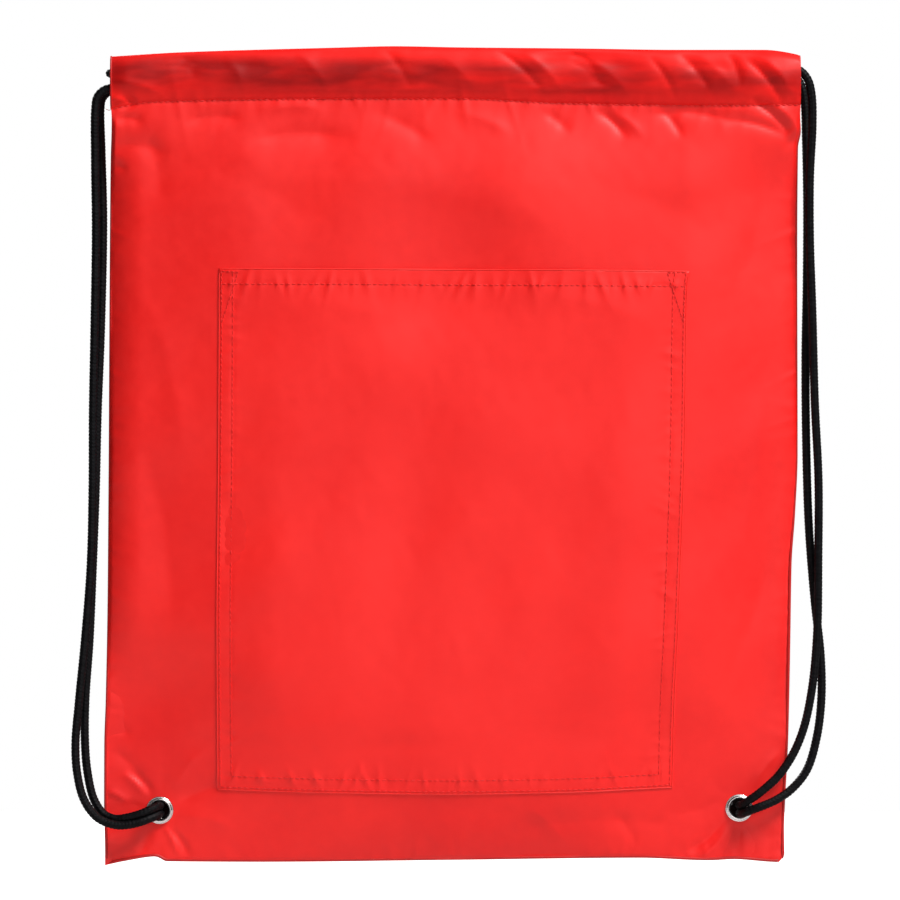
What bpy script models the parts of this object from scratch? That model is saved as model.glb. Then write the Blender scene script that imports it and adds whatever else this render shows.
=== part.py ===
"""A drawstring backpack: a flat cloth bag, held open along its mouth, with two cords.

Each cord runs through the front casing, round one end of the mouth and back through the rear casing.
Its two ends leave at the other end of the mouth, run down beside the bag, pass together through an eyelet
in the bottom corner and are tied in one knot behind it.

The bag is drawn in its own frame: X across, H up from the bottom seam, Y back from the plane of the seams.
An empty then puts the frame's origin on the middle of the rear casing's flat outer face.
"""

import math

import bmesh
import bpy
from mathutils import Matrix, Vector

# Driving dimensions, in metres
HEIGHT = 0.424
HALF_WIDTH_BOTTOM = 0.177
HALF_WIDTH_TOP = 0.180
CLOTH = 0.0008
GAP = 0.0003

# The casings that the cords run through, along the mouth
CASING_HEIGHT = 0.026
CASING_DEPTH = 0.007
CASING_HALF_LENGTH = 0.1725
CASING_Y = 0.0075
SLIT_HEM_END = 0.1765
CASING_MIDDLE = HEIGHT - CASING_HEIGHT / 2
CASING_SIDES = 12

# The bag's two walls
BAG_HALF_DEPTH = 0.010
SEAM_RADIUS = 0.0016
SEAM_TOP = 0.372
WALL_BOTTOM = 2 * SEAM_RADIUS + GAP
WALL_TOP = HEIGHT - CASING_HEIGHT - CLOTH / 2 - GAP
WALL_COLUMNS = (0.0, 0.045, 0.090, 0.1215, 0.140, 0.162)
WALL_ROWS = (0.016, 0.038, 0.062, 0.105, 0.150, 0.200, 0.250, 0.300, 0.310, 0.345, SEAM_TOP)
SIDE_RAMP = 0.055
BOTTOM_RAMP = 0.080
TOP_RAMP_START = 0.345

# The patch pocket on the front
POCKET_HALF_WIDTH = 0.1215
POCKET_BOTTOM = 0.038
POCKET_TOP = 0.310
POCKET_HEM_BASE = 0.300
POCKET_HALF_INNER = 0.090
POCKET_SWELL = 0.0055
POCKET_RAMP_TOP = 0.062

# Eyelets in the bottom corners
EYELET_X = 0.1512
EYELET_H = 0.0279
EYELET_HOLE = 0.0045
EYELET_BARREL = 0.0052
EYELET_FLANGE = 0.0075
EYELET_STEPS = 32
CLOTH_HOLE = 0.0056
CLOTH_HOLE_SIDES = 24
CUTTER_DEPTH = 0.020
FLAT_ROUND_EYELET = 0.017
EYELET_FADE = 0.030

# Cords
CORD_RADIUS = 0.002
LEFT_CORD_H = 0.404
RIGHT_CORD_H = 0.412
RUN_END = 0.170
RUN_STEPS = 12
BIGHT_STEPS = 10
STRAND_IN_EYELET = 0.00215
STRAND_END_Y = 0.0036
FINE_STEP = 0.004
COARSE_STEP = 0.010
FINE_TOP = 0.030
FINE_BOTTOM = 0.045
KNOT_RADII = (0.0075, 0.0062, 0.0070)
KNOT_Y = 0.0102
TAIL_LENGTH = 0.020
TAIL_LEAN = 14
TAIL_SPREAD = 0.003
TAIL_STAGGER = 0.001
TAIL_SIDES = 10

# Routes of the four free strands, as (x, y, h) in millimetres, from the casing to the eyelet
ROUTES_MM = {
    "left_cord_front_strand": [
        (-170.3, -7.5, 404), (-174, -7.5, 404), (-176.5, -7.5, 403.9), (-180.5, -7.4, 402.6),
        (-183.5, -7.3, 399.4), (-184.6, -7.1, 394), (-184.8, -6.5, 366), (-184.4, -5.9, 330),
        (-185.2, -5.2, 278), (-186.0, -4.9, 236), (-186.2, -4.8, 195), (-187.2, -4.9, 155),
        (-190.2, -5.2, 116), (-193.2, -6.0, 85), (-195.0, -7.0, 62), (-194.0, -8.0, 47),
        (-190.4, -8.9, 33.5), (-183.4, -9.8, 24.2), (-174.0, -10.5, 20.1), (-166.0, -10.8, 20.6),
        (-160.0, -10.5, 22.2), (-155.6, -9.1, 23.9), (-152.4, -5.9, 25.2), (-151.2, -1.5, 25.75),
        (-151.2, 3.6, 25.75),
    ],
    "left_cord_back_strand": [
        (-170.3, 7.5, 404), (-173, 7.5, 404), (-175.2, 7.5, 403.9), (-179.2, 7.3, 402.4),
        (-182.0, 7.0, 399.0), (-182.8, 6.6, 394), (-182.2, 5.2, 372), (-181.2, 3.6, 335),
        (-182.3, 2.0, 278), (-183.9, 1.0, 236), (-184.9, 0.4, 195), (-186.4, 0.1, 155),
        (-188.1, -0.4, 116), (-190.2, -1.2, 85), (-190.3, -2.2, 62), (-188.9, -2.9, 47),
        (-185.6, -3.8, 34), (-180.4, -5.0, 26.2), (-174.6, -7.0, 24.2), (-168.0, -9.2, 24.8),
        (-160.4, -10.5, 27.2), (-155.6, -9.1, 28.9), (-152.4, -5.9, 29.8), (-151.2, -1.5, 30.05),
        (-151.2, 3.6, 30.05),
    ],
    "right_cord_front_strand": [
        (170.3, -7.5, 412), (174, -7.5, 412), (177.5, -7.5, 411.8), (182.0, -7.5, 409.8),
        (185.6, -7.4, 405.4), (187.7, -7.3, 399), (188.5, -7.2, 385), (187.4, -6.9, 358),
        (187.4, -6.6, 325), (188.6, -6.3, 290), (190.0, -6.1, 240), (191.9, -6.0, 200),
        (191.8, -6.0, 160), (191.2, -6.1, 120), (188.6, -6.5, 92), (184.2, -7.2, 71),
        (178.4, -8.3, 57), (171.0, -9.6, 46.2), (164.0, -10.4, 39.6), (158.4, -10.4, 35.2),
        (154.8, -9.1, 32.8), (152.2, -5.9, 30.8), (151.2, -1.5, 30.05), (151.2, 3.6, 30.05),
    ],
    "right_cord_back_strand": [
        (170.3, 7.5, 412), (173, 7.5, 412), (176.2, 7.5, 411.7), (180.6, 7.3, 409.4),
        (183.8, 7.0, 404.8), (185.4, 6.5, 398), (186.1, 5.3, 378), (186.6, 3.4, 345),
        (186.3, 1.4, 305), (185.5, -0.1, 262), (185.9, -1.0, 215), (187.2, -1.3, 175),
        (190.2, -1.4, 137), (193.3, -1.8, 108), (193.6, -2.5, 86), (191.2, -3.3, 66),
        (186.0, -4.6, 49), (178.2, -6.5, 39.2), (170.0, -9.0, 33.6), (164.4, -10.2, 31.1),
        (159.3, -10.4, 29.2), (155.2, -9.1, 27.5), (152.3, -5.9, 26.2), (151.2, -1.5, 25.75),
        (151.2, 3.6, 25.75),
    ],
}

# Looks: colour, roughness, metallic
RED_SATIN = ((0.85, 0.03, 0.02), 0.45, 0.0)
BLACK_CORD = ((0.012, 0.012, 0.014), 0.6, 0.0)
NICKEL = ((0.75, 0.74, 0.72), 0.2, 1.0)

SIDES = (("left", -1), ("right", 1))
COLLECTION = "drawstring_backpack"
CUTTERS = "cutters"


def clear_scene():
    for old in list(bpy.data.objects):
        bpy.data.objects.remove(old, do_unlink=True)


def new_collection(name):
    made = bpy.data.collections.new(name)
    bpy.context.scene.collection.children.link(made)
    return made


def principled(name, rgb, roughness, metallic=0.0):
    made = bpy.data.materials.new(name)
    made.use_nodes = True
    shader = made.node_tree.nodes["Principled BSDF"]
    shader.inputs["Base Color"].default_value = (*rgb, 1.0)
    shader.inputs["Roughness"].default_value = roughness
    shader.inputs["Metallic"].default_value = metallic
    return made


def file_in(item, group):
    """Moves an object into one collection."""
    for old in list(item.users_collection):
        old.objects.unlink(item)
    group.objects.link(item)


def add_part(item, name, look, origin=(0.0, 0.0, 0.0)):
    """Names an object drawn in the bag's frame, gives it its material and puts its origin at a point."""
    item.name = name
    item.data.name = name
    item.data.materials.clear()
    item.data.materials.append(principled(name, *look))
    file_in(item, PARTS)
    item.data.transform(Matrix.Translation(-Vector(origin)))
    item.parent = FRAME
    item.location = origin
    return item


def smoothstep(t):
    t = min(max(t, 0.0), 1.0)
    return t * t * (3 - 2 * t)


def half_width(h):
    """Half the bag's width at height h, out to the edge of the side seam."""
    return HALF_WIDTH_BOTTOM + (HALF_WIDTH_TOP - HALF_WIDTH_BOTTOM) * h / HEIGHT


def wall_depth(x, h):
    """How far a wall's inner face stands from the plane of the seams."""
    side = smoothstep((half_width(h) - abs(x)) / SIDE_RAMP)
    bottom = smoothstep((h - WALL_BOTTOM) / BOTTOM_RAMP)
    from_eyelet = math.hypot(abs(x) - EYELET_X, h - EYELET_H)
    eyelet = smoothstep((from_eyelet - FLAT_ROUND_EYELET) / EYELET_FADE)
    pillow = GAP + (BAG_HALF_DEPTH - GAP) * side * bottom * eyelet
    at_casing = CASING_Y - CLOTH / 2
    return pillow + (at_casing - pillow) * smoothstep((h - TOP_RAMP_START) / (WALL_TOP - TOP_RAMP_START))


def sheet(columns, rows, point_at):
    """A grid of points at each column and row, put where point_at(column, row) says."""
    bpy.ops.mesh.primitive_grid_add(x_subdivisions=len(columns) - 1, y_subdivisions=len(rows) - 1, size=2)
    item = bpy.context.object
    for point in item.data.vertices:
        column = round((point.co.x + 1) / 2 * (len(columns) - 1))
        row = round((point.co.y + 1) / 2 * (len(rows) - 1))
        point.co = point_at(columns[column], rows[row])
    return item


def solidify(item, thickness, offset):
    skin = item.modifiers.new("cloth", "SOLIDIFY")
    skin.thickness = thickness
    skin.offset = offset
    skin.use_even_offset = True


def both_sides(half):
    """A row of positive stations mirrored about zero."""
    return [-x for x in reversed(half)] + [x for x in half if x > 0]


def make_wall(name, side):
    """The front (side -1) or back (side +1) of the bag, pinched to the seams and round the eyelets."""
    columns = both_sides([*WALL_COLUMNS, HALF_WIDTH_BOTTOM])
    rows = [WALL_BOTTOM, *WALL_ROWS, WALL_TOP]

    def point_at(x, h):
        if abs(x) == HALF_WIDTH_BOTTOM:
            x = math.copysign(half_width(h) - 2 * SEAM_RADIUS - GAP, x)
        return Vector((x, side * wall_depth(x, h), h))

    item = sheet(columns, rows, point_at)
    solidify(item, CLOTH, -side)
    for x in (-EYELET_X, EYELET_X):
        hole = item.modifiers.new("eyelet_hole", "BOOLEAN")
        hole.operation = "DIFFERENCE"
        hole.object = eyelet_cutter(x)
    return add_part(item, name, RED_SATIN)


def eyelet_cutter(x):
    """The cylinder that makes the hole for one eyelet in both walls."""
    name = f"eyelet_hole_{'left' if x < 0 else 'right'}"
    if name in bpy.data.objects:
        return bpy.data.objects[name]
    bpy.ops.mesh.primitive_cylinder_add(vertices=CLOTH_HOLE_SIDES, radius=CLOTH_HOLE, depth=CUTTER_DEPTH)
    cutter = bpy.context.object
    cutter.name = name
    cutter.data.transform(Matrix.Rotation(math.pi / 2, 4, "X"))
    cutter.parent = FRAME
    cutter.location = (x, 0.0, EYELET_H)
    cutter.hide_render = True
    cutter.display_type = "WIRE"
    file_in(cutter, CUTTER_GROUP)
    return cutter


def pocket_point(x, h):
    """The inner face of the pocket: close to the front wall at its sewn edges, and free of it inside them."""
    side = (POCKET_HALF_WIDTH - abs(x)) / (POCKET_HALF_WIDTH - POCKET_HALF_INNER)
    bottom = (h - POCKET_BOTTOM) / (POCKET_RAMP_TOP - POCKET_BOTTOM)
    swell = POCKET_SWELL * smoothstep(side) * smoothstep(bottom)
    return Vector((x, -(wall_depth(x, h) + CLOTH + 2 * GAP + swell), h))


def make_pocket():
    columns = both_sides([x for x in WALL_COLUMNS if x <= POCKET_HALF_WIDTH])
    inside = [h for h in WALL_ROWS if POCKET_BOTTOM <= h <= POCKET_HEM_BASE]
    panel = sheet(columns, inside, pocket_point)
    solidify(panel, CLOTH, 1)
    add_part(panel, "front_pocket", RED_SATIN)
    hem = sheet(columns, [POCKET_HEM_BASE + GAP, POCKET_TOP], pocket_point)
    solidify(hem, 2 * CLOTH, 1)
    add_part(hem, "pocket_hem", RED_SATIN)


def casing_skin(low_x, high_x, y, open_towards=0):
    """A flat tube along X with straight walls and round top and bottom, or a C open towards the mouth."""
    bpy.ops.mesh.primitive_cylinder_add(
        vertices=CASING_SIDES, radius=1.0, depth=1.0, end_fill_type="NOTHING"
    )
    item = bpy.context.object
    half_turn = math.pi / CASING_SIDES
    radius = CASING_DEPTH / 2 / math.cos(half_turn)
    straight = CASING_HEIGHT / 2 - radius
    for point in item.data.vertices:
        angle = math.atan2(point.co.y, point.co.x) + half_turn
        across = radius * math.cos(angle)
        up = radius * math.sin(angle)
        x = low_x if point.co.z < 0 else high_x
        point.co = (x, y + across, CASING_MIDDLE + up + math.copysign(straight, up))
    if open_towards:
        shell = bmesh.new()
        shell.from_mesh(item.data)
        shell.faces.ensure_lookup_table()
        inner = [f for f in shell.faces if (f.calc_center_median().y - y) * open_towards > CASING_DEPTH / 4]
        bmesh.ops.delete(shell, geom=inner, context="FACES")
        bmesh.ops.recalc_face_normals(shell, faces=shell.faces)
        shell.to_mesh(item.data)
        shell.free()
    return item


def make_casing(name, side):
    item = casing_skin(-CASING_HALF_LENGTH, CASING_HALF_LENGTH, side * CASING_Y)
    solidify(item, CLOTH, -1)
    add_part(item, name, RED_SATIN)


def make_slit_hem(name, end, side):
    """The folded hem round one end of a casing. It travels with the corner of the mouth."""
    low, high = sorted((end * (CASING_HALF_LENGTH + GAP), end * SLIT_HEM_END))
    item = casing_skin(low, high, side * CASING_Y, open_towards=-side)
    solidify(item, CLOTH, 0)
    add_part(item, name, RED_SATIN, origin=(end * CASING_HALF_LENGTH, 0.0, CASING_MIDDLE))


def tube(points, radius, resolution=2):
    """A round tube with closed ends along a row of points."""
    line = bpy.data.curves.new("tube", "CURVE")
    line.dimensions = "3D"
    line.bevel_depth = radius
    line.bevel_resolution = resolution
    line.use_fill_caps = True
    spline = line.splines.new("POLY")
    spline.points.add(len(points) - 1)
    for knot, point in zip(spline.points, points):
        knot.co = (*point, 1.0)
    item = bpy.data.objects.new("tube", line)
    bpy.context.scene.collection.objects.link(item)
    return item


def smooth_line(route, samples=16):
    """Close points on a smooth curve through a route's own points."""
    points = [Vector(p) for p in route]
    ends = [2 * points[0] - points[1], *points, 2 * points[-1] - points[-2]]
    line = []
    for a, b, c, d in zip(ends, ends[1:], ends[2:], ends[3:]):
        knots = [0.0]
        for p, q in ((a, b), (b, c), (c, d)):
            knots.append(knots[-1] + math.sqrt((q - p).length))
        t0, t1, t2, t3 = knots
        for i in range(samples):
            t = t1 + (t2 - t1) * i / samples
            ab = a.lerp(b, (t - t0) / (t1 - t0))
            bc = b.lerp(c, (t - t1) / (t2 - t1))
            cd = c.lerp(d, (t - t2) / (t3 - t2))
            abc = ab.lerp(bc, (t - t0) / (t2 - t0))
            bcd = bc.lerp(cd, (t - t1) / (t3 - t1))
            line.append(abc.lerp(bcd, (t - t1) / (t2 - t1)))
    line.append(points[-1])
    return line


def stations(length):
    """Distances along a strand: close together at its bends near both ends, wider between them."""
    marks = [0.0]
    while marks[-1] < length - FINE_STEP:
        bending = marks[-1] < FINE_TOP or marks[-1] > length - FINE_BOTTOM
        marks.append(marks[-1] + (FINE_STEP if bending else COARSE_STEP))
    marks[-1] = length
    return marks


def points_along(line, marks):
    found = []
    travelled = 0.0
    marks = list(marks)
    for a, b in zip(line, line[1:]):
        step = (b - a).length
        while marks and marks[0] <= travelled + step:
            found.append(a.lerp(b, (marks.pop(0) - travelled) / step))
        travelled += step
    found += [line[-1]] * len(marks)
    return found


def make_strand(name, route_mm):
    line = smooth_line([[n / 1000 for n in point] for point in route_mm])
    length = sum((b - a).length for a, b in zip(line, line[1:]))
    item = tube(points_along(line, stations(length)), CORD_RADIUS)
    add_part(item, name, BLACK_CORD)


def make_run(name, h, side):
    """The straight stretch of a cord inside one casing."""
    ends = RUN_END - GAP
    points = [(-ends + 2 * ends * i / RUN_STEPS, side * CASING_Y, h) for i in range(RUN_STEPS + 1)]
    add_part(tube(points, CORD_RADIUS), name, BLACK_CORD)


def make_bight(name, end, h):
    """Where a cord turns round one end of the mouth, from the front casing to the back one."""
    turn = [math.pi * (i / BIGHT_STEPS - 0.5) for i in range(BIGHT_STEPS + 1)]
    points = [
        (end * (RUN_END + CASING_Y * math.cos(a)), CASING_Y * math.sin(a), h) for a in turn
    ]
    add_part(tube(points, CORD_RADIUS), name, BLACK_CORD, origin=(end * CASING_HALF_LENGTH, 0.0, CASING_MIDDLE))


def make_knot(name, end):
    """Both strands tied together behind an eyelet, with two short tails."""
    middle = Vector((end * EYELET_X, KNOT_Y, EYELET_H))
    bpy.ops.mesh.primitive_uv_sphere_add(segments=16, ring_count=10, radius=1.0)
    item = bpy.context.object
    item.data.transform(Matrix.Translation(middle) @ Matrix.Diagonal((*KNOT_RADII, 1.0)))
    for lean in (-1, 1):
        bpy.ops.mesh.primitive_cylinder_add(vertices=TAIL_SIDES, radius=CORD_RADIUS, depth=TAIL_LENGTH)
        tail = bpy.context.object
        tilt = Matrix.Rotation(math.radians(TAIL_LEAN * lean), 4, "Y")
        hang = Matrix.Translation(middle + Vector((TAIL_SPREAD * lean, TAIL_STAGGER * lean, 0.0)))
        tail.data.transform(hang @ tilt @ Matrix.Translation((0.0, 0.0, -TAIL_LENGTH / 2)))
        tail.name = f"{name}_tail_{'left' if lean < 0 else 'right'}"
        tail.parent = FRAME
        tail.hide_render = True
        tail.display_type = "WIRE"
        file_in(tail, CUTTER_GROUP)
        joined = item.modifiers.new("tail", "BOOLEAN")
        joined.operation = "UNION"
        joined.object = tail
    add_part(item, name, BLACK_CORD)


def turned(profile, steps):
    """A closed ring turned about the Y axis from (radius, y) points."""
    outline = bpy.data.meshes.new("turned")
    edges = [(i, (i + 1) % len(profile)) for i in range(len(profile))]
    outline.from_pydata([(r, y, 0.0) for r, y in reversed(profile)], edges, [])
    item = bpy.data.objects.new("turned", outline)
    bpy.context.scene.collection.objects.link(item)
    screw = item.modifiers.new("turn", "SCREW")
    screw.axis = "Y"
    screw.steps = steps
    screw.render_steps = steps
    screw.use_merge_vertices = True
    screw.merge_threshold = 0.0001
    screw.use_smooth_shade = True
    return item


def make_eyelet(name, end):
    """The eyelet's front flange and its barrel, rolled over behind the washer."""
    lip = [
        (EYELET_HOLE, -0.0019), (0.0049, -0.0024), (0.0056, -0.0027), (0.0064, -0.0026),
        (0.0071, -0.0022), (EYELET_FLANGE, -0.0014), (EYELET_BARREL, -0.0014),
    ]
    roll = [
        (EYELET_BARREL, 0.0026), (0.0059, 0.0026), (0.0062, 0.0030), (0.0057, 0.0033),
        (0.0050, 0.0033), (EYELET_HOLE, 0.0028),
    ]
    item = turned([*lip, *roll], EYELET_STEPS)
    add_part(item, name, NICKEL)
    item.location = (end * EYELET_X, 0.0, EYELET_H)


def make_washer(name, end):
    """The ring that the eyelet's barrel is rolled over, behind the cloth."""
    ring = [(CLOTH_HOLE, 0.0014), (EYELET_FLANGE, 0.0014), (0.0077, 0.0018), (0.0073, 0.0022), (CLOTH_HOLE, 0.0022)]
    item = turned(ring, EYELET_STEPS)
    add_part(item, name, NICKEL)
    item.location = (end * EYELET_X, 0.0, EYELET_H)


def make_seams():
    for name, end in SIDES:
        foot = (end * (half_width(0) - SEAM_RADIUS), 0.0, WALL_BOTTOM + GAP)
        head = (end * (half_width(SEAM_TOP) - SEAM_RADIUS), 0.0, SEAM_TOP)
        add_part(tube([foot, head], SEAM_RADIUS), f"{name}_side_seam", RED_SATIN)
    ends = HALF_WIDTH_BOTTOM
    bottom = tube([(-ends, 0.0, SEAM_RADIUS), (ends, 0.0, SEAM_RADIUS)], SEAM_RADIUS)
    add_part(bottom, "bottom_seam", RED_SATIN)


clear_scene()
PARTS = new_collection(COLLECTION)
CUTTER_GROUP = new_collection(CUTTERS)
FRAME = bpy.data.objects.new("bag_frame", None)
PARTS.objects.link(FRAME)
FRAME.location = (0.0, -(CASING_Y + CASING_DEPTH / 2), -CASING_MIDDLE)

make_wall("front_panel", -1)
make_wall("back_panel", 1)
make_pocket()
make_seams()
for place, side in (("front", -1), ("back", 1)):
    make_casing(f"{place}_channel", side)
    for name, end in SIDES:
        make_slit_hem(f"{name}_{place}_slit_hem", end, side)
    make_run(f"left_cord_{place}_run", LEFT_CORD_H, side)
    make_run(f"right_cord_{place}_run", RIGHT_CORD_H, side)
for name, route in ROUTES_MM.items():
    make_strand(name, route)
make_bight("right_cord_bight", -1, RIGHT_CORD_H)
make_bight("left_cord_bight", 1, LEFT_CORD_H)
for name, end in SIDES:
    make_eyelet(f"{name}_eyelet", end)
    make_washer(f"{name}_eyelet_washer", end)
    make_knot(f"{name}_cord_knot", end)
bpy.context.view_layer.update()
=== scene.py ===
"""The looks of a drawstring backpack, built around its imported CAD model.

The bag is drawn in its own frame: x across, h up from the bottom seam and depth forward from the plane of the
seams. at() turns that into the frame that the model is packed in.
"""

import math
from functools import partial

import bpy
import numpy as np
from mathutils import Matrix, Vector


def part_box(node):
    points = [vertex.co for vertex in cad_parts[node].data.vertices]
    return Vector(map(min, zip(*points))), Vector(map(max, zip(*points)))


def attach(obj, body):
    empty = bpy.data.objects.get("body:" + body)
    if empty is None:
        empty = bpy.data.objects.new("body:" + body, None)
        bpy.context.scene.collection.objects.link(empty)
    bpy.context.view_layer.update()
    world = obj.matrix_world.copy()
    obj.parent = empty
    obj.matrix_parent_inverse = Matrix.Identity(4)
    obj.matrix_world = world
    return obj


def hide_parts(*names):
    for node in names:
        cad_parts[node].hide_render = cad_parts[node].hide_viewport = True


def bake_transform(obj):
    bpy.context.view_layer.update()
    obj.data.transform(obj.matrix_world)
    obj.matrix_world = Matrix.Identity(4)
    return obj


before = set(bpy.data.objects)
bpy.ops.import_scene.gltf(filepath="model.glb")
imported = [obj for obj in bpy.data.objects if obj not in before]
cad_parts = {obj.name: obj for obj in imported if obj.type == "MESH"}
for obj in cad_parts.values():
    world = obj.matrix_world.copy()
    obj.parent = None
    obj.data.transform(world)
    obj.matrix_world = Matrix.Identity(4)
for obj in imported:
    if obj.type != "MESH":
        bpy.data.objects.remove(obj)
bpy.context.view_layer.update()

# Where the bag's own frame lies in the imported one
SEAM_LOW, SEAM_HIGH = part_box("bottom_seam")
SEAM_Y = (SEAM_LOW.y + SEAM_HIGH.y) / 2
BOTTOM_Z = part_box("back_channel")[1].z - 0.424

MM = 0.001
EYELET_HOLE = 5.7 * MM
EYELETS = {"left": (-0.1514, 0.0276), "right": (0.1508, 0.0288)}

# The cords' heights in the casings, their distance before and behind the seams, and where the runs end
CORD_DIAMETER = 4 * MM
CORD_COVER = 2.75 * MM
CORD_H = {"left": 0.404, "right": 0.412}
CORD_DEPTH = 0.0075
RUN_END = 0.1700
KNOT_X, KNOT_H = 0.1512, 0.0279

# Where the rows of stitches lie, from the pocket's edges
OUTER_STITCHES = 1.6 * MM
INNER_STITCHES = 7.4 * MM
HEM_STITCHES = 8.1 * MM

# The cloth's outline, as (h, x) up the sides and (x, h) along the top and bottom, in millimetres
LEFT_EDGE = [(-1, -180), (7, -180), (33, -180.5), (64, -180.4), (85, -179.7), (137, -178.7), (200, -178.2),
             (320, -177.5), (372, -177), (392, -176.2), (403, -176.9), (420, -176.6)]
RIGHT_EDGE = [(-1, 174.5), (15, 174.3), (32, 174.9), (64, 176.5), (108, 177.5), (156, 178.3), (182, 180.1),
              (212, 181.4), (320, 181.2), (374, 181.6), (382, 182.9), (391, 182.3), (402, 182.6),
              (420, 182.1)]
TOP_EDGE = [(-177, 420.3), (-139, 422.6), (-58, 425), (-29, 425.7), (5, 425.1), (68, 424.5), (119, 423.8),
            (163, 423.8), (181, 421.3), (183, 420)]
BOTTOM_EDGE = [(-181, -1.4), (-170, 1), (-153, 3.4), (-148, 0.9), (-99, 0.6), (0, 1.6), (99, 2.7), (135, 1.4),
               (148, 2), (171.3, 0.5), (174.6, 4.6)]
CASING_STITCH = [(-177, 392.8), (-155, 396.6), (-67, 398.1), (5, 398.2), (56, 396), (144, 394.7),
                 (183, 395.1)]

# The patch pocket's edges, in the same way
POCKET_LEFT = [(38, -121.3), (120, -121.5), (220, -120.6), (310, -120.2)]
POCKET_RIGHT = [(39, 116.0), (85, 117.0), (120, 118.6), (220, 122.2), (300, 123.4), (309, 124.7)]
POCKET_TOP = [(-121, 310), (-60, 309.8), (0, 309.5), (60, 309.2), (125, 308.6)]
POCKET_BOTTOM = [(-122, 38.4), (-60, 36.9), (0, 36.3), (60, 37.2), (118, 39.6)]

# Creases as (x, h) to (x, h), width and height in millimetres: a ridge stands out, a valley is negative
FRONT_CREASES = [
    (-163, 411, -82, 412, 9, -1.7), (-60, 413, 0, 411, 7, -0.7), (40, 415, 104, 413, 7, -1.1),
    (120, 414, 152, 412, 7, -1.1), (-117, 420, -106, 402, 5, 0.5), (-140, 421, -132, 408, 5, -0.6),
    (-176, 407, -150, 401, 4, 0.8), (-80, 423, -62, 400, 5, 0.6), (-34, 424, -20, 402, 4, -0.7),
    (24, 424, 50, 399, 3.5, -1.1), (36, 424, 60, 400, 4, 0.7), (62, 424, 82, 398, 3.5, -1.3),
    (70, 420, 94, 399, 5, 0.7), (104, 420, 117, 398, 3, -1.0), (119, 422, 136, 400, 4, -1.3),
    (128, 421, 148, 402, 5, 0.6), (145, 422, 151, 404, 3.5, -1.0), (154, 419, 173, 396, 4, -1.8),
    (160, 421, 179, 400, 5, 0.9), (-4, 420, 14, 401, 5, 0.5),
    (-171, 401, -164, 394, 3, -1.2), (-178, 393, -163, 397.5, 2.5, -1.0), (-178, 399, -166, 395, 2.5, 0.9),
    (-175, 388, -159, 386, 5, -1.2), (-178, 374, -148, 371, 9, -1.3), (-178, 364, -168, 361, 3, -0.7),
    (-138, 386, -108, 388, 5, -1.1), (-104, 376, -52, 378, 8, -1.6), (-100, 392, -66, 393, 5, 0.8),
    (-158, 382, -151, 342, 12, -1.0), (-40, 391, -8, 374, 8, -0.9), (4, 391, 32, 380, 7, 0.7),
    (48, 392, 62, 381, 5, -0.8), (76, 393, 92, 378, 4, -1.3), (86, 391, 101, 378, 4.5, 0.8),
    (110, 393, 121, 378, 4, -1.1), (104, 391, 148, 386.5, 5, -1.3), (142, 388, 177, 378.5, 4.5, -1.6),
    (157, 398, 178, 379, 3.5, -2.0), (166, 396, 182, 383, 3, 0.9), (175, 378, 184, 384, 2.5, 0.9),
    (174, 374, 184, 377, 2.5, -0.8), (-150, 368, -60, 330, 22, -0.9), (40, 360, 150, 322, 24, -0.8),
    (-20, 350, 60, 330, 20, 0.7), (164, 366, 150, 300, 14, -0.7), (-160, 300, -140, 200, 14, 0.7),
    (-166, 230, -146, 120, 13, -0.7), (160, 250, 146, 150, 14, 0.7), (168, 180, 140, 90, 12, -0.7),
    (-180, 38, -167, 31, 3, 0.9), (-171, 47, -159, 35, 2.5, 0.9), (-167, 48, -155, 36, 3, -1.0),
    (-176, 59, -160, 43, 5, -0.7), (-180, 72, -166, 66, 3, -0.6), (-149, 19, -142, 4, 2.5, 1.0),
    (-146, 18, -136, 3, 3, -1.0), (-158, 20, -162, 4, 4, -0.6), (-143, 31, -116, 41, 6, -0.8),
    (-145, 36, -128, 60, 6, 0.7), (-142, 25, -112, 18, 6, 0.6),
    (143, 22, 120, 4, 3, -1.0), (146, 19, 130, 2, 3, 0.9), (149, 17, 141, 2, 3, -0.8),
    (153, 18, 153, 2, 4, 0.7), (142, 32, 112, 26, 6, -0.7), (160, 26, 174, 18, 4, -0.6),
    (158, 40, 172, 58, 5, 0.7), (-80, 22, 60, 20, 12, -0.5), (20, 14, 130, 18, 10, -0.7),
    (40, 30, 62, 8, 6, 0.6), (84, 28, 98, 8, 5, -0.7),
]
POCKET_CREASES = [
    (-100, 290, -20, 282, 16, 0.9), (-60, 272, 60, 286, 20, -0.9), (30, 296, 110, 280, 12, 0.8),
    (-110, 240, -60, 120, 26, -0.8), (90, 250, 60, 130, 28, 0.8), (-20, 200, 40, 90, 30, -0.7),
    (-100, 60, -30, 80, 14, 0.8), (20, 70, 100, 58, 14, -0.8), (-80, 52, 10, 60, 9, -0.6),
]
BACK_CREASES = [
    (-140, 420, -120, 398, 5, -1.1), (-90, 424, -72, 398, 5, -1.2), (-40, 424, -28, 399, 5, 0.9),
    (20, 424, 38, 398, 5, -1.1), (80, 423, 100, 398, 5, 0.9), (140, 422, 160, 396, 5, -1.2),
    (-120, 388, -60, 372, 8, -1.3), (-20, 390, 50, 376, 9, -1.2), (90, 388, 150, 374, 8, 1.1),
    (-150, 350, -60, 300, 24, 1.0), (20, 350, 120, 290, 24, -1.1), (-100, 280, 40, 220, 30, -1.2),
    (60, 250, 150, 180, 24, 1.0), (-150, 200, -60, 130, 22, 1.1), (-30, 160, 90, 90, 26, -1.1),
    (-120, 90, -20, 60, 16, 0.9), (60, 70, 140, 90, 14, 0.9),
]

CREASE_GAIN = 1.15

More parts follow.
